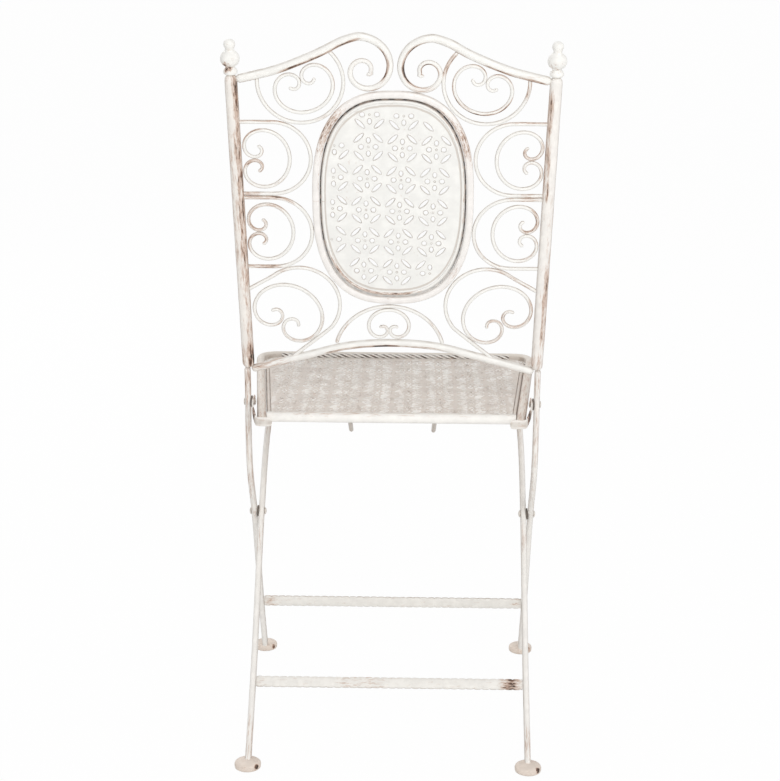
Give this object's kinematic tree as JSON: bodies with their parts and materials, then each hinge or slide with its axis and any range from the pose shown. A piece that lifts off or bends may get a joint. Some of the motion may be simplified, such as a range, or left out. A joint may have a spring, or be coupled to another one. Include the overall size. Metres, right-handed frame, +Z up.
{
  "type": "folding garden chair",
  "caption": "Folding metal garden chair with scrolled back, pierced oval panel, pierced seat and crossing legs, in worn and peeling cream paint.",
  "frame": {"origin": "on the floor under the middle of the chair's outer box", "axes": "+Z up, the chair faces -Y, +X is the sitter's left"},
  "size_m": [0.4274, 0.4751, 0.9505],
  "materials": {
    "frame_paint": "matt cream paint, rubbed and rust-stained",
    "seat_paint": "matt greyish cream paint, rubbed",
    "pierced_sheet": "matt cream paint on pierced sheet",
    "foot": "chipped cream paint on round feet",
    "fastener": "dark rivets and washers with worn paint"
  },
  "bodies": {
    "back_frame": {"oval_ring": "frame_paint", "oval_inner_rod": "frame_paint", "back_panel": "pierced_sheet", "centre_arch": "frame_paint", "centre_scroll": "frame_paint", "bottom_rail": "frame_paint", "front_crossbar": "frame_paint", "stile_left": "frame_paint", "finial_left": "frame_paint", "top_rail_left": "frame_paint", "corner_arch_left": "frame_paint", "upper_arch_left": "frame_paint", "lower_arch_left": "frame_paint", "bottom_arch_left": "frame_paint", "corner_scroll_left": "frame_paint", "upper_scroll_left": "frame_paint", "lower_scroll_left": "frame_paint", "bottom_scroll_left": "frame_paint", "front_leg_left": "frame_paint", "front_foot_left": "foot", "leg_rivet_left": "fastener", "leg_washer_left": "fastener", "seat_bolt_left": "fastener", "seat_washer_left": "fastener", "stile_right": "frame_paint", "finial_right": "frame_paint", "top_rail_right": "frame_paint", "corner_arch_right": "frame_paint", "upper_arch_right": "frame_paint", "lower_arch_right": "frame_paint", "bottom_arch_right": "frame_paint", "corner_scroll_right": "frame_paint", "upper_scroll_right": "frame_paint", "lower_scroll_right": "frame_paint", "bottom_scroll_right": "frame_paint", "front_leg_right": "frame_paint", "front_foot_right": "foot", "leg_rivet_right": "fastener", "leg_washer_right": "fastener", "seat_bolt_right": "fastener", "seat_washer_right": "fastener"},
    "rear_legs": {"rear_crossbar": "frame_paint", "rear_top_bar": "frame_paint", "rear_leg_left": "frame_paint", "rear_foot_left": "foot", "rear_leg_right": "frame_paint", "rear_foot_right": "foot"},
    "seat": {"seat_frame": "seat_paint", "seat_rear_bar": "seat_paint", "seat_panel": "pierced_sheet", "seat_rope_rod": "seat_paint", "seat_strap_front": "seat_paint", "seat_strap_rear": "seat_paint", "seat_side_rod_left": "seat_paint", "seat_bracket_left": "seat_paint", "seat_hook_left": "seat_paint", "seat_side_rod_right": "seat_paint", "seat_bracket_right": "seat_paint", "seat_hook_right": "seat_paint"}
  },
  "joints": [
    {"name": "leg_fold", "type": "hinge", "parent": "back_frame", "child": "rear_legs", "pos_m": [0, -0.032, 0.272], "axis": [-1, 0, 0], "range_deg": [0, 55.5]},
    {"name": "seat_fold", "type": "hinge", "parent": "back_frame", "child": "seat", "pos_m": [0, 0.0403, 0.451], "axis": [-1, 0, 0], "range_deg": [0, 78]}
  ],
  "couplings": [
    {"joint": "leg_fold", "follows": "seat_fold", "ratio": 0.71154}
  ]
}
